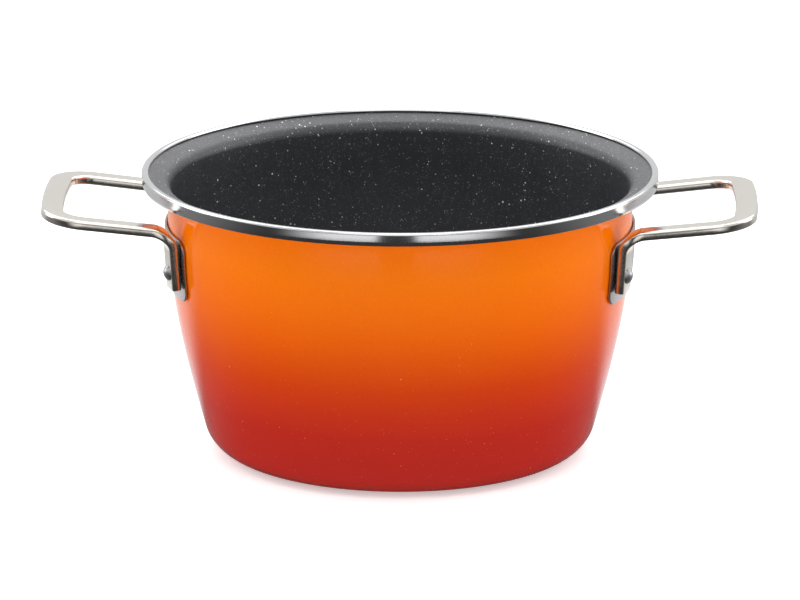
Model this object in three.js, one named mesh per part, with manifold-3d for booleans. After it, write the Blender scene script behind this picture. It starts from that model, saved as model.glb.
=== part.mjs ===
// Two-handled enamelled casserole without a lid. Units are millimetres and +Z is up.
// The origin is the centre of the flat base and the handles point along +X and -X.

import * as THREE from 'three';
import { mergeVertices } from 'three/addons/utils/BufferGeometryUtils.js';
import Module from 'manifold-3d';

const wasm = await Module();
wasm.setup();

// Vessel
const RIM_TOP = 137.3;
const RIM_RADIUS = 123.5;
const SHEET = 1.6;
const BASE_FLAT_RADIUS = 77;
const BASE_CORNER = 17.4;
const WALL_LEAN = deg(16);
const WALL_BULGE = 40;
const SHOULDER_RADIUS = 111.15;
const SHOULDER_HEIGHT = 112;
const SHOULDER_PULL = 30;
const NECK_TOP = RIM_TOP - 9.4;
const FLARE_RADIUS = 4;
const FLARE_TURN = deg(70);
const FLANGE_RADIUS = 122.5;
const FLANGE_DROP = 2.5;
const TURNS = 64;

// Rim band
const BAND_SHEET = 0.6;
const BAND_WIDTH = 3.4;
const BAND_ROUND = 1.1;
const BAND_OUTER_LEG = 6.2;
const BAND_INNER_LEG = 1.15;
const BAND_HOOK = 2;

// Loop handles
const BAR_WIDTH = 10.66;
const BAR_THICK = 4.45;
const BAR_EDGE = 1.3;
const HANDLE_REACH = 170.9;
const HANDLE_HALF_WIDTH = 48.75;
const WIDTH_MEASURED_AT = 145;
const ARM_SPLAY = deg(1.8);
const FOOT_HALF_SPACING = 41.8;
const LOOP_CORNER = 21.1;
const GRIP_BOW = 400;
const HANDLE_TOP = 122.15;
const HANDLE_RISE = deg(6);
const BEND_RADIUS = 9.7;
const FOOT_END = 88.4;

// Bracket plates and rivets
const GAP = 0.3;
const PLATE_SHEET = 1.2;
const PLATE_SPAN = deg(25.6);
const PLATE_LOW = 82.5;
const PLATE_HIGH = 112;
const PLATE_CORNER = 6;
const RIVET_HEIGHT = 96.9;
const RIVET_SHANK = 2.3;
const RIVET_HOLE = 2.65;
const RIVET_HEAD = 3.75;
const RIVET_DOME = 2.1;
const RIVET_INNER_HEAD = 5;
const RIVET_INNER_DOME = 1.3;
const RIVET_INNER_GAP = 0.5;

function deg(angle) {
  return (angle * Math.PI) / 180;
}

function finish(name, color, roughness, metalness) {
  return new THREE.MeshStandardMaterial({ name, color, roughness, metalness });
}

function toSolid(geometry) {
  const bare = geometry.clone();
  bare.deleteAttribute('normal');
  bare.deleteAttribute('uv');
  const welded = mergeVertices(bare, 1e-4);
  const index = welded.index.array;
  const kept = [];
  for (let i = 0; i < index.length; i += 3) {
    const [a, b, c] = [index[i], index[i + 1], index[i + 2]];
    if (a !== b && b !== c && a !== c) {
      kept.push(a, b, c);
    }
  }
  const mesh = new wasm.Mesh({
    numProp: 3,
    vertProperties: new Float32Array(welded.attributes.position.array),
    triVerts: new Uint32Array(kept),
  });
  return new wasm.Manifold(mesh);
}

function toGeometry(solid) {
  const mesh = solid.getMesh();
  const geometry = new THREE.BufferGeometry();
  geometry.setAttribute('position', new THREE.BufferAttribute(new Float32Array(mesh.vertProperties), 3));
  geometry.setIndex(new THREE.BufferAttribute(new Uint32Array(mesh.triVerts), 1));
  geometry.computeVertexNormals();
  return geometry;
}

// A closed profile of (radius, height) points, in anticlockwise order, turned about Z.
function turned(profile, segments = TURNS) {
  const geometry = new THREE.LatheGeometry(profile, segments);
  geometry.rotateX(Math.PI / 2);
  return geometry;
}

function arc(centreX, centreY, radius, from, to, steps) {
  const points = [];
  for (let i = 0; i <= steps; i += 1) {
    const angle = from + ((to - from) * i) / steps;
    points.push(new THREE.Vector2(centreX + radius * Math.cos(angle), centreY + radius * Math.sin(angle)));
  }
  return points;
}

// The outer wall is one cubic curve from the base corner up to the upright shoulder.
const cornerTurn = Math.PI / 2 - WALL_LEAN;
const wallFoot = new THREE.Vector2(
  BASE_FLAT_RADIUS + BASE_CORNER * Math.sin(cornerTurn),
  BASE_CORNER * (1 - Math.cos(cornerTurn)),
);
const wallCurve = new THREE.CubicBezierCurve(
  wallFoot,
  new THREE.Vector2(
    wallFoot.x + WALL_BULGE * Math.sin(WALL_LEAN),
    wallFoot.y + WALL_BULGE * Math.cos(WALL_LEAN),
  ),
  new THREE.Vector2(SHOULDER_RADIUS, SHOULDER_HEIGHT - SHOULDER_PULL),
  new THREE.Vector2(SHOULDER_RADIUS, SHOULDER_HEIGHT),
);

// Radius and lean of the outer wall at a height between the base corner and the neck.
function wallAt(height) {
  if (height >= SHOULDER_HEIGHT) {
    return { radius: SHOULDER_RADIUS, lean: 0 };
  }
  let low = 0;
  let high = 1;
  for (let i = 0; i < 40; i += 1) {
    const middle = (low + high) / 2;
    if (wallCurve.getPoint(middle).y < height) {
      low = middle;
    } else {
      high = middle;
    }
  }
  const tangent = wallCurve.getTangent(low);
  return { radius: wallCurve.getPoint(low).x, lean: Math.atan2(tangent.x, tangent.y) };
}

const flareCentre = new THREE.Vector2(SHOULDER_RADIUS + FLARE_RADIUS, NECK_TOP);

function vesselLine() {
  const line = [new THREE.Vector2(0, 0)];
  line.push(...arc(BASE_FLAT_RADIUS, BASE_CORNER, BASE_CORNER, -Math.PI / 2, -WALL_LEAN, 5));
  line.push(...wallCurve.getPoints(8).slice(1));
  line.push(...arc(flareCentre.x, flareCentre.y, FLARE_RADIUS, Math.PI, Math.PI - FLARE_TURN, 4));
  line.push(new THREE.Vector2(FLANGE_RADIUS, RIM_TOP - FLANGE_DROP));
  return line;
}

// The same line moved sideways to its left by a distance, keeping the first point on the axis.
function inset(line, distance) {
  return line.map((point, i) => {
    const before = line[Math.max(i - 1, 0)];
    const after = line[Math.min(i + 1, line.length - 1)];
    const into = new THREE.Vector2().subVectors(point, before).normalize();
    const out = new THREE.Vector2().subVectors(after, point).normalize();
    if (i === 0) {
      into.copy(out);
    }
    if (i === line.length - 1) {
      out.copy(into);
    }
    const along = into.clone().add(out).normalize();
    const stretch = distance / Math.max(along.dot(out), 0.5);
    return new THREE.Vector2(point.x - along.y * stretch, point.y + along.x * stretch);
  });
}

function vessel() {
  const outside = vesselLine();
  const inside = inset(outside, SHEET).reverse();
  inside[inside.length - 1].x = 0;
  return turned([...outside, ...inside]);
}

// A channel of thin sheet folded over the lip, with its outer leg hooked in below it.
function rimBand() {
  const outer = RIM_RADIUS;
  const inner = RIM_RADIUS - BAND_WIDTH;
  const top = RIM_TOP - BAND_ROUND;
  const legEnd = RIM_TOP - BAND_OUTER_LEG;
  const innerEnd = RIM_TOP - BAND_INNER_LEG;
  const inside = BAND_ROUND - BAND_SHEET;
  const line = [
    new THREE.Vector2(outer - BAND_HOOK, legEnd),
    new THREE.Vector2(outer - BAND_SHEET / 2, legEnd),
    new THREE.Vector2(outer, legEnd + BAND_SHEET / 2),
    ...arc(outer - BAND_ROUND, top, BAND_ROUND, 0, Math.PI / 2, 3),
    ...arc(inner + BAND_ROUND, top, BAND_ROUND, Math.PI / 2, Math.PI, 3),
    new THREE.Vector2(inner, innerEnd),
    new THREE.Vector2(inner + BAND_SHEET, innerEnd),
    ...arc(inner + BAND_ROUND, top, inside, Math.PI, Math.PI / 2, 2),
    ...arc(outer - BAND_ROUND, top, inside, Math.PI / 2, 0, 2),
    new THREE.Vector2(outer - BAND_SHEET, legEnd + BAND_SHEET),
    new THREE.Vector2(outer - BAND_HOOK, legEnd + BAND_SHEET),
    new THREE.Vector2(outer - BAND_HOOK, legEnd),
  ];
  return turned(line);
}

// Where a foot sits on its bracket plate: distance, azimuth and lean of its centreline.
const footStack = GAP + PLATE_SHEET + GAP + BAR_THICK / 2;
const rivetWall = wallAt(RIVET_HEIGHT);
const footAzimuth = Math.asin(FOOT_HALF_SPACING / (rivetWall.radius + footStack));
const footLean = rivetWall.lean;
const footX = (rivetWall.radius + footStack / Math.cos(footLean)) * Math.cos(footAzimuth);

function barSection() {
  const w = BAR_WIDTH / 2;
  const t = BAR_THICK / 2;
  const e = BAR_EDGE;
  const shape = new THREE.Shape();
  shape.moveTo(-w + e, -t);
  shape.lineTo(w - e, -t);
  shape.absarc(w - e, -t + e, e, -Math.PI / 2, 0, false);
  shape.lineTo(w, t - e);
  shape.absarc(w - e, t - e, e, 0, Math.PI / 2, false);
  shape.lineTo(-w + e, t);
  shape.absarc(-w + e, t - e, e, Math.PI / 2, Math.PI, false);
  shape.lineTo(-w, -t + e);
  shape.absarc(-w + e, -t + e, e, Math.PI, Math.PI * 1.5, false);
  return shape;
}

// The side view of one arm: up the wall, round the bend, then out along the rising arm.
// The distance p is measured along the bar's centreline from the end of the foot.
const bendTurn = Math.PI / 2 - footLean - HANDLE_RISE;
const bendSetback = BEND_RADIUS * Math.tan(bendTurn / 2);
const armCentreTop = HANDLE_TOP - BAR_THICK / 2 / Math.cos(HANDLE_RISE);
const footAxisAt = (z) => footX + (z - RIVET_HEIGHT) * Math.tan(footLean);
const armAxisAt = (x) => armCentreTop + (x - WIDTH_MEASURED_AT) * Math.tan(HANDLE_RISE);
const elbowZ = (armAxisAt(footX) - RIVET_HEIGHT * Math.tan(HANDLE_RISE) * Math.tan(footLean))
  / (1 - Math.tan(HANDLE_RISE) * Math.tan(footLean));
const elbow = new THREE.Vector2(footAxisAt(elbowZ), elbowZ);
const footLength = (elbow.y - FOOT_END) / Math.cos(footLean) - bendSetback;
const bendLength = BEND_RADIUS * bendTurn;

function sideAt(p) {
  const up = Math.PI / 2 - footLean;
  const start = new THREE.Vector2(
    elbow.x - bendSetback * Math.cos(up),
    elbow.y - bendSetback * Math.sin(up),
  );
  if (p <= footLength) {
    const back = footLength - p;
    return { x: start.x - back * Math.cos(up), z: start.y - back * Math.sin(up), angle: up };
  }
  const centre = new THREE.Vector2(start.x + BEND_RADIUS * Math.sin(up), start.y - BEND_RADIUS * Math.cos(up));
  const angle = up - Math.min((p - footLength) / BEND_RADIUS, bendTurn);
  const x = centre.x - BEND_RADIUS * Math.sin(angle);
  const z = centre.y + BEND_RADIUS * Math.cos(angle);
  const past = Math.max(p - footLength - bendLength, 0);
  return { x: x + past * Math.cos(angle), z: z + past * Math.sin(angle), angle };
}

// The flat plan of half the loop: the splayed arm, one corner, then half the bowed grip.
const cornerRadius = LOOP_CORNER - BAR_WIDTH / 2;
const bendEnd = footLength + bendLength;
const bendEndX = elbow.x + bendSetback * Math.cos(HANDLE_RISE);
const reach = bendEnd + (HANDLE_REACH - bendEndX) / Math.cos(HANDLE_RISE) - BAR_WIDTH / 2;
const armAtMeasure = HANDLE_HALF_WIDTH - BAR_WIDTH / 2;
const armAtBend = armAtMeasure - (WIDTH_MEASURED_AT - bendEndX) * Math.tan(ARM_SPLAY);

// Runs from 0 on the foot to 1 on the arm, smoothly across the bend.
function pastBend(p) {
  return THREE.MathUtils.smoothstep(p, footLength, bendEnd);
}

function armOffset(p) {
  const splay = Math.max(p - bendEnd, 0) * Math.tan(ARM_SPLAY);
  return THREE.MathUtils.lerp(FOOT_HALF_SPACING, armAtBend, pastBend(p)) + splay;
}

function planStations() {
  const bowRadius = GRIP_BOW - BAR_WIDTH / 2;
  const bowCentre = reach - bowRadius;
  const span = bowRadius - cornerRadius;
  const armDistance = (bowCentre - bendEnd) * Math.sin(ARM_SPLAY) + armAtBend * Math.cos(ARM_SPLAY);
  const centreAngle = Math.asin((armDistance - cornerRadius) / span) + ARM_SPLAY;
  const joint = Math.PI / 2 - centreAngle;
  const centre = new THREE.Vector2(
    bowCentre + span * Math.cos(centreAngle),
    span * Math.sin(centreAngle),
  );
  const stations = [{ p: 0, v: FOOT_HALF_SPACING, heading: 0 }];
  for (let i = 0; i <= 6; i += 1) {
    const p = footLength + (bendLength * i) / 6;
    stations.push({ p, v: armOffset(p), heading: 0 });
  }
  for (let i = 0; i <= 6; i += 1) {
    const heading = THREE.MathUtils.lerp(-ARM_SPLAY, joint, i / 6);
    const p = centre.x + cornerRadius * Math.sin(heading);
    stations.push({ p, v: centre.y + cornerRadius * Math.cos(heading), heading });
  }
  const quarter = (Math.PI / 2 + joint) / 2;
  stations.push({
    p: bowCentre + bowRadius * Math.sin(quarter),
    v: bowRadius * Math.cos(quarter),
    heading: quarter,
  });
  return stations;
}

// Each station of the flat plan is folded down the wall and turned to face the vessel.
function folded(station) {
  const side = sideAt(station.p);
  const run = new THREE.Vector3(Math.cos(side.angle), 0, Math.sin(side.angle));
  const across = new THREE.Vector3(0, 1, 0);
  const position = new THREE.Vector3(side.x, station.v, side.z);
  const along = run.clone().multiplyScalar(Math.cos(station.heading));
  along.addScaledVector(across, -Math.sin(station.heading));
  const top = new THREE.Vector3(-Math.sin(side.angle), 0, Math.cos(side.angle));
  const turn = footAzimuth * (1 - pastBend(station.p));
  const twist = new THREE.Quaternion().setFromAxisAngle(new THREE.Vector3(0, 0, 1), turn);
  const pivot = new THREE.Vector3(footX, FOOT_HALF_SPACING, 0);
  position.sub(pivot).applyQuaternion(twist).add(pivot);
  along.applyQuaternion(twist);
  top.applyQuaternion(twist);
  return { position, along, top };
}

function mirrored(frame) {
  const flip = (vector) => new THREE.Vector3(vector.x, -vector.y, vector.z);
  return { position: flip(frame.position), along: flip(frame.along).negate(), top: flip(frame.top) };
}

function loopHandle() {
  const half = planStations().map(folded);
  const frames = [...half, ...half.map(mirrored).reverse()];
  const last = frames.length - 1;
  const geometry = new THREE.ExtrudeGeometry(barSection(), {
    depth: last,
    steps: last,
    bevelEnabled: false,
    curveSegments: 1,
  });
  const position = geometry.attributes.position;
  for (let i = 0; i < position.count; i += 1) {
    const frame = frames[Math.round(position.getZ(i))];
    const acrossDirection = new THREE.Vector3().crossVectors(frame.top, frame.along);
    const point = frame.position.clone();
    point.addScaledVector(acrossDirection, position.getX(i));
    point.addScaledVector(frame.top, position.getY(i));
    position.setXYZ(i, point.x, point.y, point.z);
  }
  return geometry;
}

// A ring of sheet that follows the wall, cut down to one curved plate with rounded corners.
function bracketPlate() {
  const near = [];
  const far = [];
  const steps = 4;
  for (let i = 0; i <= steps; i += 1) {
    const height = PLATE_LOW - 2 + ((PLATE_HIGH - PLATE_LOW + 4) * i) / steps;
    const wall = wallAt(height);
    const shift = (distance) => new THREE.Vector2(
      wall.radius + distance * Math.cos(wall.lean),
      height - distance * Math.sin(wall.lean),
    );
    near.push(shift(GAP));
    far.push(shift(GAP + PLATE_SHEET));
  }
  const ring = toSolid(turned([...far, ...near.reverse(), far[0]], 96));
  const halfWidth = (SHOULDER_RADIUS + GAP + PLATE_SHEET) * Math.sin(PLATE_SPAN);
  const c = PLATE_CORNER;
  const shape = new THREE.Shape();
  shape.moveTo(-halfWidth + c, PLATE_LOW);
  shape.lineTo(halfWidth - c, PLATE_LOW);
  shape.absarc(halfWidth - c, PLATE_LOW + c, c, -Math.PI / 2, 0, false);
  shape.lineTo(halfWidth, PLATE_HIGH - c);
  shape.absarc(halfWidth - c, PLATE_HIGH - c, c, 0, Math.PI / 2, false);
  shape.lineTo(-halfWidth + c, PLATE_HIGH);
  shape.absarc(-halfWidth + c, PLATE_HIGH - c, c, Math.PI / 2, Math.PI, false);
  shape.lineTo(-halfWidth, PLATE_LOW + c);
  shape.absarc(-halfWidth + c, PLATE_LOW + c, c, Math.PI, Math.PI * 1.5, false);
  const prism = new THREE.ExtrudeGeometry(shape, { depth: 60, steps: 1, bevelEnabled: false, curveSegments: 2 });
  prism.rotateX(Math.PI / 2);
  prism.rotateZ(Math.PI / 2);
  prism.translate(70, 0, 0);
  return ring.intersect(toSolid(prism));
}

// Turns a shape built around +Z, with z = 0 on the outer wall, onto a rivet's axis.
function onRivetAxis(geometry, side) {
  geometry.rotateY(Math.PI / 2 + footLean);
  geometry.translate(rivetWall.radius, 0, RIVET_HEIGHT);
  geometry.rotateZ(footAzimuth * side);
  return geometry;
}

function rivetHole(side) {
  const drill = new THREE.CylinderGeometry(RIVET_HOLE, RIVET_HOLE, 24, 16);
  drill.rotateX(Math.PI / 2);
  return toSolid(onRivetAxis(drill, side));
}

// Shank through foot, plate and wall, a full dome outside and a flat dome inside.
function rivet(side) {
  const seat = GAP + PLATE_SHEET + GAP + BAR_THICK + GAP;
  const innerSeat = -SHEET - RIVET_INNER_GAP;
  const domeRadius = (RIVET_HEAD ** 2 + RIVET_DOME ** 2) / (2 * RIVET_DOME);
  const innerRadius = (RIVET_INNER_HEAD ** 2 + RIVET_INNER_DOME ** 2) / (2 * RIVET_INNER_DOME);
  const outerSpan = Math.asin(RIVET_HEAD / domeRadius);
  const innerSpan = Math.asin(RIVET_INNER_HEAD / innerRadius);
  const inner = arc(0, innerSeat - RIVET_INNER_DOME + innerRadius, innerRadius,
    -Math.PI / 2, -Math.PI / 2 + innerSpan, 3);
  const outer = arc(0, seat + RIVET_DOME - domeRadius, domeRadius, Math.PI / 2 - outerSpan, Math.PI / 2, 4);
  inner[0].x = 0;
  outer[outer.length - 1].x = 0;
  const line = [
    ...inner,
    new THREE.Vector2(RIVET_SHANK, innerSeat),
    new THREE.Vector2(RIVET_SHANK, seat),
    ...outer,
  ];
  return onRivetAxis(turned(line, 16), side);
}

const enamel = finish('enamel', 0xd2481c, 0.16, 0);
const steel = finish('polished_steel', 0xd6d6d8, 0.18, 1);

const part = new THREE.Group();
part.name = 'enamelled_casserole';

function add(name, geometry, material) {
  const mesh = new THREE.Mesh(geometry, material.clone());
  mesh.name = name;
  part.add(mesh);
}

const front = -1;
const back = 1;
const halfTurn = (geometry) => geometry.clone().rotateZ(Math.PI);
const drilled = (solid) => solid.subtract(rivetHole(front)).subtract(rivetHole(back));

function vesselWithHoles() {
  const right = drilled(toSolid(vessel()));
  const turnedRound = toGeometry(right).rotateZ(Math.PI);
  return toGeometry(drilled(toSolid(turnedRound)));
}

const rightHandle = toGeometry(drilled(toSolid(loopHandle())));
const rightBracket = toGeometry(drilled(bracketPlate()));
const rightRivets = { front: rivet(front), back: rivet(back) };

add('pot_body', vesselWithHoles(), enamel);
add('rim_band', rimBand(), steel);
add('handle_right', rightHandle, steel);
add('handle_left', halfTurn(rightHandle), steel);
add('bracket_right', rightBracket, steel);
add('bracket_left', halfTurn(rightBracket), steel);
add('rivet_right_front', rightRivets.front, steel);
add('rivet_right_back', rightRivets.back, steel);
add('rivet_left_front', halfTurn(rightRivets.back), steel);
add('rivet_left_back', halfTurn(rightRivets.front), steel);

export default part;
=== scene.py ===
import math

import bmesh
import bpy
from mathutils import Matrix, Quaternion, Vector


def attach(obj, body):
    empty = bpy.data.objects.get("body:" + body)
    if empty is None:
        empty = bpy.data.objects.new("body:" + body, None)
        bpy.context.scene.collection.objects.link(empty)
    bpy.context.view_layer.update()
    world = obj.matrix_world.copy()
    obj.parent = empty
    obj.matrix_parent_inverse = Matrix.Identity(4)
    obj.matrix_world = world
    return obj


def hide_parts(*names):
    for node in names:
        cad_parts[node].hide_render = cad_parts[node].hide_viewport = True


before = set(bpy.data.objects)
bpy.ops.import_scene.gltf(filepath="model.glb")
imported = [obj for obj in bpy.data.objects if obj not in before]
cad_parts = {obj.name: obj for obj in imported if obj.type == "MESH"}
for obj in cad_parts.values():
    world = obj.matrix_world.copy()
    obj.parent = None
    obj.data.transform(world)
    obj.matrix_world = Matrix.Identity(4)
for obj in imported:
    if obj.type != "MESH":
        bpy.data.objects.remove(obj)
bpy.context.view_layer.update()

MM = 0.001

# Vessel, in millimetres
RIM_TOP = 137.3
RIM_RADIUS = 123.5
SHEET = 1.6
BASE_FLAT_RADIUS = 77.0
BASE_CORNER = 17.4
WALL_LEAN = math.radians(16)
WALL_BULGE = 40.0
SHOULDER_RADIUS = 111.15
SHOULDER_HEIGHT = 112.0
SHOULDER_PULL = 30.0
NECK_TOP = RIM_TOP - 9.4
FLARE_RADIUS = 4.0
FLARE_TURN = math.radians(70)
FLANGE_RADIUS = 122.5
FLANGE_DROP = 2.5
ROUND_STEPS = 256

# Rim band
BAND_SHEET = 0.6
BAND_WIDTH = 3.4
BAND_ROUND = 1.1
BAND_OUTER_LEG = 6.2
BAND_INNER_LEG = 1.15
BAND_HOOK = 2.0

# Loop handles
BAR_WIDTH = 10.66
BAR_THICK = 4.45
BAR_EDGE = 1.3
HANDLE_REACH = 170.9
HANDLE_HALF_WIDTH = 48.75
WIDTH_MEASURED_AT = 145.0
ARM_SPLAY = math.radians(1.8)
FOOT_HALF_SPACING = 41.8
LOOP_CORNER = 21.1
GRIP_BOW = 400.0
HANDLE_TOP = 122.15
HANDLE_RISE = math.radians(6)
BEND_RADIUS = 9.7
FOOT_END = 88.4

# Bracket plates and rivets
GAP = 0.3
PLATE_SHEET = 1.2
PLATE_SPAN = math.radians(25.6)
PLATE_LOW = 82.5
PLATE_HIGH = 112.0
PLATE_CORNER = 6.0
RIVET_HEIGHT = 96.9
RIVET_SHANK = 2.3
RIVET_HEAD = 3.75
RIVET_DOME = 2.1
RIVET_INNER_HEAD = 5.0
RIVET_INNER_DOME = 1.3
RIVET_CLEARANCE = 0.02
RIVET_INNER_CLEARANCE = 0.05

# Studio, in metres and degrees
FLOOR_HALF = 6.0
PAPER_HEIGHT = -0.0005
# Height of the glowing sheet that only reflections see: painted light, not a lamp
REFLECTION_GLOW_HEIGHT = -0.0004
PAPER_GLOW = 0.42
AIR_LEVEL = 0.85
LENS_LENGTH = 324.9
FILM_WIDTH = 36.0
CAMERA_PLACE = (0.0762, -3.3437, 0.9816)
CAMERA_TURN = (74.79, -0.072, 1.306 + 0.0189)


# Shader maths

class Value:
    """A node socket that takes part in Python arithmetic by adding Math nodes."""

    def __init__(self, finish, socket):
        self.finish = finish
        self.socket = socket

    def maths(self, operation, *inputs):
        node = self.finish.tree.nodes.new("ShaderNodeMath")
        node.operation = operation
        for place, given in enumerate(inputs):
            self.finish.feed(node.inputs[place], given)
        return Value(self.finish, node.outputs[0])

    def also(self, output):
        """Another output of the same node."""
        return Value(self.finish, self.socket.node.outputs[output])

    def __add__(self, other):
        return self.maths("ADD", self, other)

    def __radd__(self, other):
        return self.maths("ADD", other, self)

    def __sub__(self, other):
        return self.maths("SUBTRACT", self, other)

    def __rsub__(self, other):
        return self.maths("SUBTRACT", other, self)

    def __mul__(self, other):
        return self.maths("MULTIPLY", self, other)

    def __rmul__(self, other):
        return self.maths("MULTIPLY", other, self)

    def __truediv__(self, other):
        return self.maths("DIVIDE", self, other)

    def __pow__(self, other):
        return self.maths("POWER", self, other)

    def above(self, edge, soft):
        """0 below edge, 1 above edge + soft, smooth between them."""
        return self.finish.node(
            "ShaderNodeMapRange", {"interpolation_type": "SMOOTHSTEP"},
            Value=self, From_Min=edge, From_Max=edge + soft,
        )

    def below(self, edge, soft):
        return 1 - self.above(edge, soft)

    def angle_from(self, across):
        return self.maths("ARCTAN2", self, across)


class Finish:
    """One material, built from calls that each add a node."""

    def __init__(self, name):
        self.material = bpy.data.materials.new(name)
        self.material.use_nodes = True
        self.tree = self.material.node_tree
        self.shader = self.tree.nodes["Principled BSDF"]

    def feed(self, socket, given):
        if isinstance(given, Value):
            self.tree.links.new(given.socket, socket)
        elif given is not None:
            socket.default_value = given

    def node(self, kind, settings=None, output=0, **inputs):
        node = self.tree.nodes.new(kind)
        for name, setting in (settings or {}).items():
            if name == "stops":
                ramp = node.color_ramp
                while len(ramp.elements) < len(setting):
                    ramp.elements.new(0.5)
                for element, (place, colour) in zip(ramp.elements, setting):
                    element.position = place
                    element.color = colour
            else:
                setattr(node, name, setting)
        for name, given in inputs.items():
            wanted = name.replace("_", " ")
            sockets = [s for s in node.inputs if s.name == wanted and s.enabled]
            self.feed(sockets[0], given)
        return Value(self, node.outputs[output])

    def place(self):
        """The point on the piece in metres, in the pot's own frame."""
        return self.node("ShaderNodeTexCoord", output=3)

    def axes(self):
        """The x, y and z of that point, as three values."""
        x = self.node("ShaderNodeSeparateXYZ", Vector=self.place())
        return x, x.also(1), x.also(2)

    def point(self, x, y, z):
        return self.node("ShaderNodeCombineXYZ", X=x, Y=y, Z=z)

    def noise(self, scale, detail=2.0, where=None):
        where = where or self.place()
        return self.node("ShaderNodeTexNoise", Vector=where, Scale=scale, Detail=detail)

    def ramp(self, stops, factor):
        return self.node("ShaderNodeValToRGB", {"stops": stops}, Fac=factor)

    def mix(self, factor, first, second, blend="MIX"):
        settings = {"data_type": "RGBA", "blend_type": blend, "clamp_factor": False}
        return self.node("ShaderNodeMix", settings, output=2, Factor=factor, A=first, B=second)

    def specks(self, scale, size, share, shift):
        """Round specks of varied size: one in each cell, kept in a share of the cells."""
        away = (shift, shift * 0.7, shift * 1.3)
        moved = self.node("ShaderNodeMapping", Vector=self.place(), Location=away)
        distance = self.node("ShaderNodeTexVoronoi", Vector=moved, Scale=scale)
        chance = self.node("ShaderNodeSeparateColor", Color=distance.also(1))
        spread = chance.also(1)
        limit = (0.35 + 0.65 * spread) * size
        inside = (limit - distance).above(0.0, size * 0.35)
        return inside * chance.above(1 - share, 0.01)

    def set(self, **sockets):
        for name, given in sockets.items():
            self.feed(self.shader.inputs[name.replace("_", " ")], given)
        return self

    def bump(self, height, distance, strength=1.0):
        bump = self.node("ShaderNodeBump", Height=height, Distance=distance, Strength=strength)
        return self.set(Normal=bump)


class Surroundings(Finish):
    """The air round the pot: the same way of writing, on a world's nodes."""

    def __init__(self, world):
        self.tree = world.node_tree

    def place(self):
        return self.node("ShaderNodeTexCoord", output=0)


def linear(red, green, blue):
    """A colour given in display values from 0 to 255."""
    def channel(value):
        value /= 255
        return value / 12.92 if value <= 0.04045 else ((value + 0.055) / 1.055) ** 2.4
    return (channel(red), channel(green), channel(blue), 1.0)


def enamel_finish():
    """Glossy enamel sprayed in two colours that fade into each other up the wall."""
    finish = Finish("fired_enamel")
    height = finish.axes()[2] / (RIM_TOP * MM)
    drift = (finish.noise(26.0, 2.0) - 0.5) * 0.035
    fade = finish.ramp([
        (0.00, (0.358, 0.026, 0.018, 1)),
        (0.06, (0.424, 0.021, 0.015, 1)),
        (0.135, (0.416, 0.020, 0.012, 1)),
        (0.22, (0.426, 0.020, 0.010, 1)),
        (0.31, (0.475, 0.028, 0.007, 1)),
        (0.40, (0.528, 0.041, 0.003, 1)),
        (0.49, (0.602, 0.067, 0.001, 1)),
        (0.58, (0.685, 0.097, 0.000, 1)),
        (0.67, (0.743, 0.126, 0.000, 1)),
        (0.80, (0.802, 0.158, 0.000, 1)),
        (1.00, (0.853, 0.168, 0.000, 1)),
    ], height + drift)
    low = height.below(0.42, 0.35)
    fine = finish.specks(760.0, 0.30, 0.16, 0.3)
    bright = finish.specks(330.0, 0.12, 0.20, 0.9)
    grain = finish.noise(900.0, 3.0)
    tinted = finish.mix(fine * low * 0.22, fade, linear(232, 130, 110))
    tinted = finish.mix(bright * (0.15 + low * 0.35), tinted, linear(250, 190, 160))
    shaded = finish.mix((grain - 0.45) * 0.16, tinted, linear(90, 18, 12), "MULTIPLY")
    finish.set(
        Base_Color=shaded, Roughness=0.09 + finish.noise(60.0) * 0.05, IOR=1.36,
    )
    ripple = finish.noise(95.0, 2.0) * 0.7 + finish.noise(420.0, 2.0) * 0.12
    return finish.bump(ripple, 0.00009, 0.30).material


def lining_finish():
    """Dark baked coating with light stone-like specks of several sizes."""
    finish = Finish("speckled_lining")
    broad = finish.specks(225.0, 0.125, 0.70, 0.0)
    middle = finish.specks(390.0, 0.155, 0.90, 0.5)
    small = finish.specks(640.0, 0.21, 1.00, 1.1)
    dust = finish.specks(1150.0, 0.36, 1.00, 1.7)
    cloud = finish.noise(55.0, 3.0)
    ground = finish.mix(cloud, linear(38, 39, 44), linear(52, 53, 58))
    speck = finish.mix(dust * 0.27, ground, linear(170, 172, 176))
    speck = finish.mix(small * 0.52, speck, linear(196, 196, 198))
    speck = finish.mix(middle * 0.85, speck, linear(236, 236, 234))
    speck = finish.mix(broad, speck, linear(252, 252, 248))
    finish.set(
        Base_Color=speck, Roughness=0.38 + finish.noise(300.0, 3.0) * 0.16, IOR=1.62,
    )
    pimples = finish.noise(700.0, 3.0) * 0.5 + finish.noise(160.0) * 0.3
    return finish.bump(pimples, 0.00012, 0.4).material


def steel_finish(name, tone, dull, along):
    """Stainless steel with faint polishing lines and wiping marks. along picks how the lines run."""
    finish = Finish(name)
    x, y, z = finish.axes()
    if along == "round":
        turn = y.angle_from(x)
        reach = (x * x + y * y) ** 0.5
        lined = finish.point(turn * 0.12, reach * 26.0, z * 26.0)
    elif along == "across":
        lined = finish.point(x * 22.0, y * 1.0, z * 22.0)
    else:
        lined = finish.point(x * 1.6, y * 1.6, z * 30.0)
    lines = finish.noise(150.0, 4.0, lined)
    wipe = finish.noise(34.0, 3.0)
    tint = finish.mix(lines, linear(*[c * 0.93 for c in tone]), linear(*tone))
    finish.set(
        Base_Color=tint, Metallic=1.0,
        Roughness=dull + lines * 0.07 + (wipe - 0.5) * 0.06,
    )
    return finish.bump(lines * 0.8 + wipe * 0.2, 0.00003, 0.25).material


# Mesh building

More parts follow.
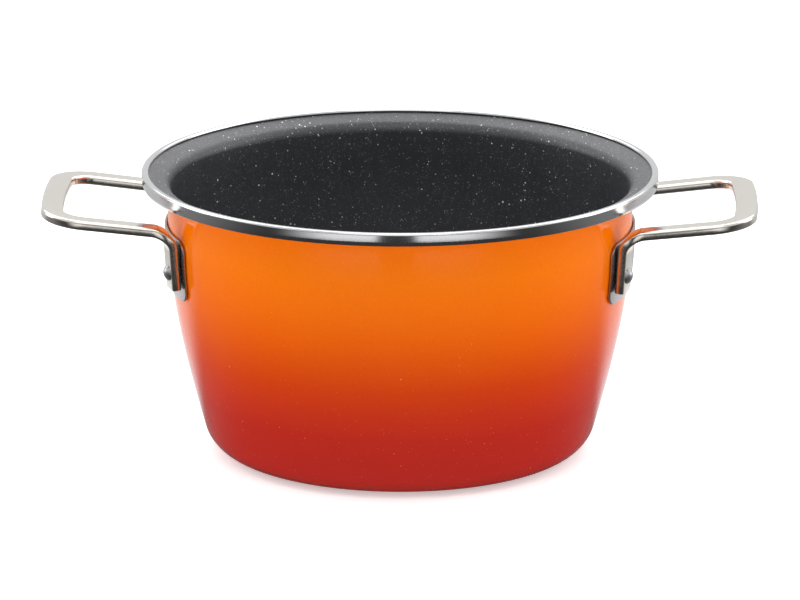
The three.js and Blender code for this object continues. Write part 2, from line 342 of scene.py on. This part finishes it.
def piece_from(name, points, faces, material, slot, *nodes):
    """A smooth-shaded piece from points in millimetres, standing for the CAD nodes named."""
    mesh = bpy.data.meshes.new(name)
    mesh.from_pydata([Vector(p) * MM for p in points], [], faces)
    sheet = bmesh.new()
    sheet.from_mesh(mesh)
    bmesh.ops.remove_doubles(sheet, verts=sheet.verts, dist=1e-7)
    bmesh.ops.recalc_face_normals(sheet, faces=sheet.faces)
    for face in sheet.faces:
        face.smooth = True
    for edge in sheet.edges:
        if len(edge.link_faces) == 2 and edge.calc_face_angle() > math.radians(32):
            edge.smooth = False
    sheet.to_mesh(mesh)
    sheet.free()
    mesh.materials.append(material)
    piece = bpy.data.objects.new(name, mesh)
    bpy.context.scene.collection.objects.link(piece)
    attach(piece, "root")
    if nodes:
        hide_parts(*nodes)
    return piece


def arc(cx, cy, radius, start, end, steps):
    """Points on an arc, both ends included, with angles in radians."""
    return [
        (cx + radius * math.cos(start + (end - start) * i / steps),
         cy + radius * math.sin(start + (end - start) * i / steps))
        for i in range(steps + 1)
    ]


def turned(line, closed, steps=ROUND_STEPS):
    """Points and faces of a line of (radius, height) turned once about the vertical axis."""
    points = []
    for i in range(steps):
        angle = 2 * math.pi * i / steps
        points += [(r * math.cos(angle), r * math.sin(angle), z) for r, z in line]
    count = len(line)
    spans = count if closed else count - 1
    faces = []
    for i in range(steps):
        here, there = i * count, ((i + 1) % steps) * count
        for j in range(spans):
            k = (j + 1) % count
            faces.append((here + j, there + j, there + k, here + k))
    return points, faces


def wall_point(t):
    """Position and direction on the wall curve, t from 0 at the base corner to 1 at the shoulder."""
    turn = math.pi / 2 - WALL_LEAN
    foot = Vector((BASE_FLAT_RADIUS + BASE_CORNER * math.sin(turn), BASE_CORNER * (1 - math.cos(turn))))
    pull = foot + Vector((math.sin(WALL_LEAN), math.cos(WALL_LEAN))) * WALL_BULGE
    above = Vector((SHOULDER_RADIUS, SHOULDER_HEIGHT - SHOULDER_PULL))
    top = Vector((SHOULDER_RADIUS, SHOULDER_HEIGHT))
    s = 1 - t
    position = foot * s ** 3 + pull * 3 * s * s * t + above * 3 * s * t * t + top * t ** 3
    heading = (pull - foot) * s * s + (above - pull) * 2 * s * t + (top - above) * t * t
    return position, heading.normalized()


def wall_at(height):
    """Radius and lean of the outer wall at a height."""
    if height >= SHOULDER_HEIGHT:
        return SHOULDER_RADIUS, 0.0
    low, high = 0.0, 1.0
    for _ in range(40):
        middle = (low + high) / 2
        if wall_point(middle)[0].y < height:
            low = middle
        else:
            high = middle
    position, heading = wall_point(low)
    return position.x, math.atan2(heading.x, heading.y)


def vessel_line():
    """Outside of the pressed sheet as (radius, height), from the middle of the base to the lip."""
    line = [(0.0, 0.0), (40.0, 0.0), (70.0, 0.0)]
    line += arc(BASE_FLAT_RADIUS, BASE_CORNER, BASE_CORNER, -math.pi / 2, -WALL_LEAN, 20)
    line += [tuple(wall_point(i / 36)[0]) for i in range(1, 37)]
    line += [(SHOULDER_RADIUS, SHOULDER_HEIGHT + (NECK_TOP - SHOULDER_HEIGHT) * i / 4) for i in range(1, 4)]
    line += arc(SHOULDER_RADIUS + FLARE_RADIUS, NECK_TOP, FLARE_RADIUS, math.pi, math.pi - FLARE_TURN, 14)
    end = (FLANGE_RADIUS, RIM_TOP - FLANGE_DROP)
    last = line[-1]
    line += [(last[0] + (end[0] - last[0]) * i / 3, last[1] + (end[1] - last[1]) * i / 3) for i in (1, 2, 3)]
    return line


def inset(line, distance):
    """The line moved sideways to its left, with its first point kept on the axis."""
    moved = []
    for i, point in enumerate(line):
        before = Vector(line[max(i - 1, 0)])
        after = Vector(line[min(i + 1, len(line) - 1)])
        here = Vector(point)
        into = (here - before).normalized() if i else (after - here).normalized()
        out = (after - here).normalized() if i < len(line) - 1 else into
        along = (into + out).normalized()
        stretch = distance / max(along.dot(out), 0.5)
        moved.append((here.x - along.y * stretch, here.y + along.x * stretch))
    moved[0] = (0.0, moved[0][1])
    return moved


def vessel(enamel, lining):
    """The pressed sheet as its two coats: enamel outside and speckled lining inside."""
    outside = vessel_line()
    middle = inset(outside, SHEET * 0.49)
    coat = turned(outside + middle[::-1], True)
    piece_from("enamel_coat", *coat, enamel, "enamel", "pot_body")
    start = inset(outside, SHEET * 0.51)
    inside = inset(outside, SHEET)
    piece_from("inner_lining", *turned(start + inside[::-1], True), lining, "enamel")


def rim_band(steel):
    """Steel channel folded over the lip, with its outer edge curled in under it."""
    curl = 0.5
    flare = 0.32
    outer, inner = RIM_RADIUS, RIM_RADIUS - BAND_WIDTH
    top = RIM_TOP - BAND_ROUND
    leg_end, inner_end = RIM_TOP - BAND_OUTER_LEG, RIM_TOP - BAND_INNER_LEG
    fold = BAND_ROUND - BAND_SHEET
    out_mid, in_mid = outer - BAND_ROUND, inner + BAND_ROUND
    line = [(outer - BAND_HOOK, leg_end)]
    line += arc(outer - 0.85, leg_end + curl, curl, -math.pi / 2, -0.2, 5)
    line += [(outer - flare * (1 - i / 5) ** 2, leg_end + 0.6 + 1.6 * i / 5) for i in range(1, 6)]
    line += arc(out_mid, top, BAND_ROUND, 0, math.pi / 2, 10)
    line += arc(in_mid, top, BAND_ROUND, math.pi / 2, math.pi, 10)
    line += [(inner + 0.1, inner_end), (inner + BAND_SHEET, inner_end)]
    line += arc(in_mid, top, fold, math.pi, math.pi / 2, 7)
    line += arc(out_mid, top, fold, math.pi / 2, 0, 7)
    line += [(outer - BAND_SHEET, leg_end + BAND_SHEET), (outer - BAND_HOOK, leg_end + BAND_SHEET)]
    piece_from("folded_rim", *turned(line, True, 384), steel, "polished_steel", "rim_band")


# Where a foot sits on its plate, and the fold of one arm seen from the side
rivet_radius, foot_lean = wall_at(RIVET_HEIGHT)
foot_stack = GAP + PLATE_SHEET + GAP + BAR_THICK / 2
foot_azimuth = math.asin(FOOT_HALF_SPACING / (rivet_radius + foot_stack))
foot_x = (rivet_radius + foot_stack / math.cos(foot_lean)) * math.cos(foot_azimuth)
bend_turn = math.pi / 2 - foot_lean - HANDLE_RISE
bend_setback = BEND_RADIUS * math.tan(bend_turn / 2)
arm_top = HANDLE_TOP - BAR_THICK / 2 / math.cos(HANDLE_RISE)
rise, lean = math.tan(HANDLE_RISE), math.tan(foot_lean)
elbow_z = (arm_top + (foot_x - WIDTH_MEASURED_AT) * rise - RIVET_HEIGHT * rise * lean) / (1 - rise * lean)
elbow_x = foot_x + (elbow_z - RIVET_HEIGHT) * lean
foot_length = (elbow_z - FOOT_END) / math.cos(foot_lean) - bend_setback
bend_length = BEND_RADIUS * bend_turn
bend_end = foot_length + bend_length
bend_end_x = elbow_x + bend_setback * math.cos(HANDLE_RISE)
corner_radius = LOOP_CORNER - BAR_WIDTH / 2
reach = bend_end + (HANDLE_REACH - bend_end_x) / math.cos(HANDLE_RISE) - BAR_WIDTH / 2
arm_at_bend = HANDLE_HALF_WIDTH - BAR_WIDTH / 2 - (WIDTH_MEASURED_AT - bend_end_x) * math.tan(ARM_SPLAY)


def past_bend(p):
    """0 on the foot and 1 on the arm, smooth across the bend."""
    share = min(max((p - foot_length) / bend_length, 0.0), 1.0)
    return share * share * (3 - 2 * share)


def arm_offset(p):
    """How far the bar's centreline stands to the side of the loop's middle."""
    splay = max(p - bend_end, 0.0) * math.tan(ARM_SPLAY)
    return FOOT_HALF_SPACING + (arm_at_bend - FOOT_HALF_SPACING) * past_bend(p) + splay


def side_at(p):
    """x, z and slope of the bar's centreline, p millimetres from the end of the foot."""
    up = math.pi / 2 - foot_lean
    x = elbow_x - bend_setback * math.cos(up)
    z = elbow_z - bend_setback * math.sin(up)
    if p <= foot_length:
        back = foot_length - p
        return x - back * math.cos(up), z - back * math.sin(up), up
    cx, cz = x + BEND_RADIUS * math.sin(up), z - BEND_RADIUS * math.cos(up)
    angle = up - min((p - foot_length) / BEND_RADIUS, bend_turn)
    past = max(p - bend_end, 0.0)
    return (
        cx - BEND_RADIUS * math.sin(angle) + past * math.cos(angle),
        cz + BEND_RADIUS * math.cos(angle) + past * math.sin(angle),
        angle,
    )


def plan_stations():
    """(p, sideways offset, heading, edge inset) along half the loop, from the foot's end to the grip."""
    bow_radius = GRIP_BOW - BAR_WIDTH / 2
    bow_centre = reach - bow_radius
    span = bow_radius - corner_radius
    arm_distance = (bow_centre - bend_end) * math.sin(ARM_SPLAY) + arm_at_bend * math.cos(ARM_SPLAY)
    centre_angle = math.asin((arm_distance - corner_radius) / span) + ARM_SPLAY
    joint = math.pi / 2 - centre_angle
    centre_p = bow_centre + span * math.cos(centre_angle)
    centre_v = span * math.sin(centre_angle)
    eased = 0.45
    stations = []
    for i in range(5):
        angle = math.pi / 2 * i / 4
        stations.append((
            eased * (1 - math.cos(angle)), FOOT_HALF_SPACING, 0.0, eased * (1 - math.sin(angle)),
        ))
    for i in range(1, 5):
        stations.append((eased + (foot_length - eased) * i / 5, FOOT_HALF_SPACING, 0.0, 0.0))
    for i in range(25):
        p = foot_length + bend_length * i / 24
        stations.append((p, arm_offset(p), 0.0, 0.0))
    corner_start = centre_p - corner_radius * math.sin(ARM_SPLAY)
    for i in range(1, 6):
        p = bend_end + (corner_start - bend_end) * i / 6
        stations.append((p, arm_offset(p), -ARM_SPLAY, 0.0))
    for i in range(21):
        heading = -ARM_SPLAY + (joint + ARM_SPLAY) * i / 20
        stations.append((
            centre_p + corner_radius * math.sin(heading),
            centre_v + corner_radius * math.cos(heading), heading, 0.0,
        ))
    for i in range(1, 6):
        heading = joint + (math.pi / 2 - joint) * i / 6
        stations.append((
            bow_centre + bow_radius * math.sin(heading),
            bow_radius * math.cos(heading), heading, 0.0,
        ))
    return stations


def bar_frames():
    """Position, direction, top and edge inset of the whole bar, foot to foot."""
    half = []
    upright = Vector((0, 0, 1))
    pivot = Vector((foot_x, FOOT_HALF_SPACING, 0))
    for p, v, heading, shrink in plan_stations():
        x, z, slope = side_at(p)
        run = Vector((math.cos(slope), 0, math.sin(slope)))
        along = run * math.cos(heading) - Vector((0, 1, 0)) * math.sin(heading)
        top = Vector((-math.sin(slope), 0, math.cos(slope)))
        twist = Quaternion(upright, foot_azimuth * (1 - past_bend(p)))
        position = Vector((x, v, z)) - pivot
        position.rotate(twist)
        along.rotate(twist)
        top.rotate(twist)
        half.append((position + pivot, along, top, shrink))

    def flip(a):
        return Vector((a.x, -a.y, a.z))

    other = [(flip(a), -flip(b), flip(c), d) for a, b, c, d in reversed(half)]
    return half + other


def bar_section(shrink):
    """Outline of the bar: a flat top and underside with rounded long edges."""
    w, t, e = BAR_WIDTH / 2 - shrink, BAR_THICK / 2 - shrink, BAR_EDGE - shrink * 0.6
    outline = []
    for sx, sy, start in ((1, -1, -90), (1, 1, 0), (-1, 1, 90), (-1, -1, 180)):
        a = math.radians(start)
        outline += arc(sx * (w - e), sy * (t - e), e, a, a + math.pi / 2, 7)
    return outline


def loop_handle(name, side, steel, node):
    """One bent bar: two feet down the wall, two arms and the grip between them."""
    points, faces = [], []
    frames = bar_frames()
    for position, along, top, shrink in frames:
        across = top.cross(along)
        for u, v in bar_section(shrink):
            point = position + across * u + top * v
            points.append((point.x * side, point.y * side, point.z))
    count = len(bar_section(0))
    for i in range(len(frames) - 1):
        for j in range(count):
            k = (j + 1) % count
            a, b = i * count, (i + 1) * count
            faces.append((a + j, a + k, b + k, b + j))
    faces.append(tuple(range(count)))
    faces.append(tuple(range((len(frames) - 1) * count, len(frames) * count)))
    return piece_from(name, points, faces, steel, "polished_steel", node)


def bracket_plate(name, side, steel, node):
    """A strip of sheet that follows the wall, with rounded corners and eased edges."""
    half = (SHOULDER_RADIUS + GAP + PLATE_SHEET) * math.sin(PLATE_SPAN)
    ease = 0.3
    offsets = [half - PLATE_CORNER * (1 - math.sin(math.pi / 2 * i / 10)) for i in range(11)]
    inner = half - PLATE_CORNER
    offsets = [inner * i / 24 for i in range(24)] + offsets
    offsets = [-v for v in reversed(offsets[1:])] + offsets
    rows = 24
    layers = ((GAP, ease), (GAP + ease, 0.0), (GAP + PLATE_SHEET - ease, 0.0), (GAP + PLATE_SHEET, ease))

    def ring(distance, shrink):
        grid = []
        for v in offsets:
            past = max(abs(v) - inner, 0.0)
            drop = PLATE_CORNER - math.sqrt(max(PLATE_CORNER ** 2 - past ** 2, 0.0))
            low, high = PLATE_LOW + drop + shrink, PLATE_HIGH - drop - shrink
            sideways = v * (half - shrink) / half
            column = []
            for j in range(rows + 1):
                height = low + (high - low) * j / rows
                radius, wall_lean = wall_at(height)
                r = radius + distance * math.cos(wall_lean)
                z = height - distance * math.sin(wall_lean)
                azimuth = math.asin(sideways / (SHOULDER_RADIUS + GAP + PLATE_SHEET))
                column.append((r * math.cos(azimuth) * side, r * math.sin(azimuth) * side, z))
            grid.append(column)
        return grid

    points, faces = [], []
    grids = [ring(*layer) for layer in layers]
    wide = len(offsets)
    tall = rows + 1
    for grid in grids:
        for column in grid:
            points += column

    def at(g, i, j):
        return g * wide * tall + i * tall + j

    for g in (0, len(grids) - 1):
        for i in range(wide - 1):
            for j in range(rows):
                faces.append((at(g, i, j), at(g, i + 1, j), at(g, i + 1, j + 1), at(g, i, j + 1)))
    border = [(i, 0) for i in range(wide)] + [(wide - 1, j) for j in range(1, tall)]
    border += [(i, rows) for i in range(wide - 2, -1, -1)] + [(0, j) for j in range(rows - 1, 0, -1)]
    for g in range(len(grids) - 1):
        for n, (i, j) in enumerate(border):
            k, m = border[(n + 1) % len(border)]
            faces.append((at(g, i, j), at(g, k, m), at(g + 1, k, m), at(g + 1, i, j)))
    return piece_from(name, points, faces, steel, "bracket_steel", node)


def rivet(name, azimuth, steel, node):
    """Shank through foot, plate and wall, a full dome outside and a flat dome inside."""
    head_edge = 0.4
    seat = GAP + PLATE_SHEET + GAP + BAR_THICK + RIVET_CLEARANCE
    inner_seat = -SHEET - RIVET_INNER_CLEARANCE
    dome = RIVET_DOME + GAP - RIVET_CLEARANCE
    line = [(0.0, inner_seat - RIVET_INNER_DOME)]
    for i in range(1, 12):
        angle = math.pi / 2 * i / 12
        height = inner_seat - RIVET_INNER_DOME * math.cos(angle) ** 0.8
        line.append((RIVET_INNER_HEAD * math.sin(angle), height))
    line += [(RIVET_INNER_HEAD, inner_seat), (RIVET_SHANK, inner_seat)]
    line += [(RIVET_SHANK, seat), (RIVET_HEAD, seat)]
    radius = (RIVET_HEAD ** 2 + (dome - head_edge) ** 2) / (2 * (dome - head_edge))
    span = math.asin(RIVET_HEAD / radius)
    line += arc(0, seat + dome - radius, radius, math.pi / 2 - span, math.pi / 2, 14)
    line[-1] = (0.0, line[-1][1])
    points, faces = turned(line, False, 48)
    tilt = Quaternion(Vector((0, 1, 0)), math.pi / 2 + foot_lean)
    turn = Quaternion(Vector((0, 0, 1)), azimuth)
    placed = []
    for point in points:
        spot = Vector(point)
        spot.rotate(tilt)
        spot += Vector((rivet_radius, 0, RIVET_HEIGHT))
        spot.rotate(turn)
        placed.append(tuple(spot))
    return piece_from(name, placed, faces, steel, "rivet_steel", node)


# Studio

def flat_square(name, height, finish):
    """A level sheet under the pot, part of the studio and not of the object."""
    half = FLOOR_HALF
    mesh = bpy.data.meshes.new(name)
    corners = [(-half, -half, 0), (half, -half, 0), (half, half, 0), (-half, half, 0)]
    mesh.from_pydata(corners, [], [(0, 1, 2, 3)])
    mesh.materials.append(finish.material)
    square = bpy.data.objects.new(name, mesh)
    bpy.context.scene.collection.objects.link(square)
    square.location.z = height
    return square


def floor():
    """White paper that the lamps light, and a glowing sheet, no lamp, seen only in reflections: painted
    light in bright and dark zones.
    """
    paper = Finish("white_paper")
    paper.set(Base_Color=(0.88, 0.93, 0.93, 1), Roughness=1.0, Emission_Color=(1, 1, 1, 1))
    paper.set(Emission_Strength=PAPER_GLOW, Specular_IOR_Level=0.0)
    sheet = flat_square("paper", PAPER_HEIGHT, paper)
    sheet.visible_glossy = False
    # Glowing sheet, no lamp, hidden from camera and diffuse light: its emission makes painted reflections on
    # the polished parts and the enamel, bright far in front, at the sides and behind, dark near the pot.
    reflection_glow = Finish("reflection_glow_sheet")
    x, y, _ = reflection_glow.axes()
    # turn is 0 straight in front of the pot and 1 straight behind it
    turn = x.maths("ABSOLUTE", x).angle_from(y * -1.0) / math.pi
    reach = (x * x + y * y) ** 0.5
    front = turn.above(0.036, 0.014) * turn.below(0.13, 0.16) * reach.above(0.55, 0.04)
    sides = turn.above(0.28, 0.28) * 0.20
    back = turn.above(0.56, 0.12) * (reach.below(0.30, 0.12) * 0.45 + 0.40)
    level = 0.05 + front * 1.15 + sides + back
    glow = reflection_glow.mix(level, (0, 0, 0, 1), (1, 1, 1, 1))
    reflection_glow.set(Base_Color=(0, 0, 0, 1), Emission_Color=glow)
    reflection_glow.set(Emission_Strength=1.0, Specular_IOR_Level=0.0)
    top = flat_square("reflection_glow", REFLECTION_GLOW_HEIGHT, reflection_glow)
    top.visible_camera = False
    top.visible_diffuse = False
    top.visible_shadow = False


def panel(name, place, towards, wide, tall, strength):
    """A soft rectangular lamp that faces a point."""
    lamp = bpy.data.lights.new(name, "AREA")
    lamp.shape = "RECTANGLE"
    lamp.size, lamp.size_y = wide, tall
    lamp.energy = strength * wide * tall * math.pi
    holder = bpy.data.objects.new(name, lamp)
    bpy.context.scene.collection.objects.link(holder)
    holder.location = place
    heading = Vector(towards) - Vector(place)
    holder.rotation_euler = heading.to_track_quat("-Z", "Y").to_euler()


def studio():
    """Pale air that darkens low in front of the pot, and four soft lamps."""
    world = bpy.data.worlds.new("studio")
    world.use_nodes = True
    air = Surroundings(world)
    _, y, z = air.axes()
    front = y.below(-0.35, 0.5)
    low = z.below(0.05, 0.30)
    pale = (AIR_LEVEL, AIR_LEVEL, AIR_LEVEL, 1)
    shade = air.mix(front * low * 0.85, pale, (0.0, 0.0, 0.0, 1))
    air.feed(world.node_tree.nodes["Background"].inputs[0], shade)
    bpy.context.scene.world = world
    panel("left_soft", (-1.5, 0.35, 0.8), (0, 0, 0.06), 0.9, 1.6, 2.0)
    panel("right_soft", (1.5, 0.35, 0.8), (0, 0, 0.06), 0.9, 1.6, 2.0)
    panel("top_soft", (0, 1.3, 1.6), (0, 0, 0.05), 2.6, 1.7, 1.9)
    panel("front_soft", (0, -1.2, 2.2), (0, 0, 0.05), 1.6, 1.0, 1.6)


def camera():
    """A long lens a little above the rim, looking slightly down."""
    lens = bpy.data.cameras.new("camera")
    lens.lens = LENS_LENGTH
    lens.sensor_width = FILM_WIDTH
    lens.clip_end = 60.0
    view = bpy.data.objects.new("camera", lens)
    bpy.context.scene.collection.objects.link(view)
    view.location = CAMERA_PLACE
    view.rotation_mode = "XYZ"
    view.rotation_euler = [math.radians(turn) for turn in CAMERA_TURN]
    bpy.context.scene.camera = view


def build():
    """Every piece of the pot, with its finish."""
    enamel = enamel_finish()
    lining = lining_finish()
    band_steel = steel_finish("polished_band", (214, 214, 216), 0.10, "round")
    bar_steel = steel_finish("polished_bar", (226, 221, 213), 0.12, "across")
    plate_steel = steel_finish("brushed_plate", (188, 188, 190), 0.24, "round")
    rivet_steel = steel_finish("satin_rivet", (196, 196, 198), 0.34, "level")
    vessel(enamel, lining)
    rim_band(band_steel)
    for side, word in ((1, "right"), (-1, "left")):
        loop_handle(f"{word}_loop", side, bar_steel, f"handle_{word}")
        bracket_plate(f"{word}_plate", side, plate_steel, f"bracket_{word}")
        start = 0.0 if side == 1 else math.pi
        front = -foot_azimuth if side == 1 else foot_azimuth
        rivet(f"{word}_front_rivet", start + front, rivet_steel, f"rivet_{word}_front")
        rivet(f"{word}_back_rivet", start - front, rivet_steel, f"rivet_{word}_back")


build()
floor()
studio()
camera()
bpy.context.scene.view_settings.view_transform = "Standard"
